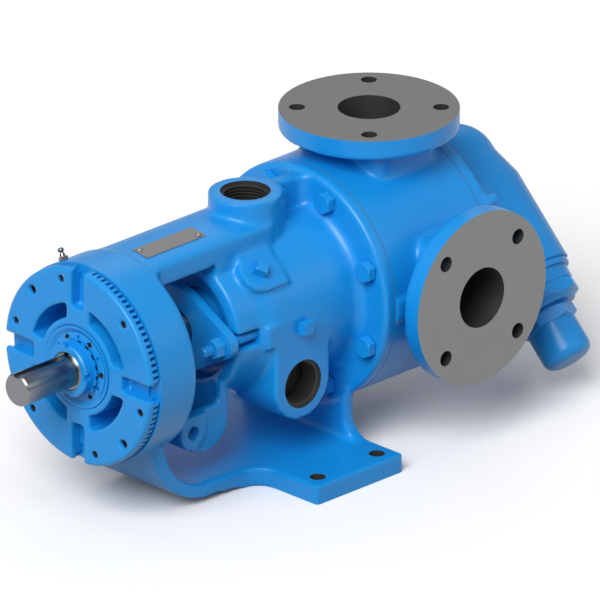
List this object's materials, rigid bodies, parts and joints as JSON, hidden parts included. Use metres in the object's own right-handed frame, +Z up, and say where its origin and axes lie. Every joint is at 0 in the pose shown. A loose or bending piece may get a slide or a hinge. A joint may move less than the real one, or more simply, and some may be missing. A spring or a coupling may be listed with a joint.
{
  "type": "internal gear pump",
  "caption": "Foot-mounted internal gear pump: flanged ports at right angles, packed shaft, adjustable bearing housing, relief valve on the head.",
  "frame": {"origin": "on the base plane, at the middle of the four foot bolt holes", "axes": "+X along the shaft from the drive end to the head, +Z up along the top port, the side port looks along -Y"},
  "size_m": [0.5913, 0.2503, 0.2731],
  "materials": {
    "painted_casting": "semi-gloss blue paint over a fine cast skin",
    "painted_fastener": "semi-gloss blue paint over steel",
    "turned_steel": "fine turned and ground",
    "machined_iron": "machined",
    "dark_steel": "black oxide",
    "bronze": "machined bronze",
    "gasket_sheet": "matte fibre sheet",
    "seal_rubber": "moulded",
    "braided_packing": "graphite braid",
    "plate_metal": "satin, bare"
  },
  "bodies": {
    "root": {"bracket": "painted_casting", "casing": "painted_casting", "head": "painted_casting", "bracket_gasket": "gasket_sheet", "head_gasket": "gasket_sheet", "bracket_capscrews": "painted_fastener", "head_capscrews": "painted_fastener", "idler_pin": "turned_steel", "bracket_bushing": "bronze", "packing_rings": "braided_packing", "gland_studs": "painted_fastener", "grease_fitting": "turned_steel", "name_plate": "plate_metal", "name_plate_rivets": "plate_metal", "square_plugs": "painted_fastener", "valve_body": "painted_casting", "valve_gasket": "gasket_sheet", "valve_capscrews": "painted_fastener", "valve_spring": "dark_steel", "valve_bonnet": "painted_casting", "bonnet_gasket": "gasket_sheet", "adjusting_locknut": "dark_steel", "valve_cap": "painted_casting", "cap_gasket": "gasket_sheet"},
    "drive": {"shaft": "turned_steel", "rotor": "machined_iron", "bearing_inner_race": "turned_steel", "locknut": "painted_fastener", "lockwasher": "painted_fastener", "outer_spacer": "turned_steel", "inner_spacer": "turned_steel", "half_round_rings": "turned_steel"},
    "idler": {"idler_gear": "machined_iron", "idler_bushing": "bronze"},
    "ball_cage": {"bearing_cage": "bronze", "bearing_balls": "turned_steel"},
    "end_clearance": {"bearing_housing": "painted_casting", "bearing_outer_race": "turned_steel", "outer_end_cap": "painted_fastener", "inner_end_cap": "machined_iron", "outer_lip_seal": "seal_rubber", "inner_lip_seal": "seal_rubber", "housing_set_screws": "dark_steel"},
    "gland": {"packing_gland": "painted_casting", "gland_nuts": "painted_fastener"},
    "poppet": {"valve_poppet": "turned_steel"},
    "adjuster": {"adjusting_screw": "dark_steel", "spring_guide": "machined_iron"}
  },
  "joints": [
    {"name": "shaft_spin", "type": "hinge", "parent": "root", "child": "drive", "pos_m": [0, 0, 0.1397], "axis": [1, 0, 0], "continuous": true},
    {"name": "idler_spin", "type": "hinge", "parent": "root", "child": "idler", "pos_m": [0.1275, -0.0099, 0.1496], "axis": [1, 0, 0], "continuous": true},
    {"name": "ball_cage_spin", "type": "hinge", "parent": "root", "child": "ball_cage", "pos_m": [-0.19, 0, 0.1397], "axis": [1, 0, 0], "continuous": true},
    {"name": "housing_turn", "type": "hinge", "parent": "root", "child": "end_clearance", "pos_m": [-0.19, 0, 0.1397], "axis": [1, 0, 0], "range_deg": [-45, 45]},
    {"name": "gland_slide", "type": "slide", "parent": "root", "child": "gland", "axis": [1, 0, 0], "range_m": [0, 0.0035], "deforming": ["packing_rings"]},
    {"name": "poppet_lift", "type": "slide", "parent": "root", "child": "poppet", "axis": [0, -0.7071, -0.7071], "range_m": [0, 0.006], "stiffness_N_per_m": 8000, "springref_m": -0.004, "deforming": ["valve_spring"]},
    {"name": "adjuster_feed", "type": "slide", "parent": "root", "child": "adjuster", "axis": [0, 0.7071, 0.7071], "range_m": [0, 0.006], "deforming": ["valve_spring"]}
  ],
  "couplings": [
    {"joint": "idler_spin", "follows": "shaft_spin", "ratio": 1.375},
    {"joint": "ball_cage_spin", "follows": "shaft_spin", "ratio": 0.41429}
  ]
}
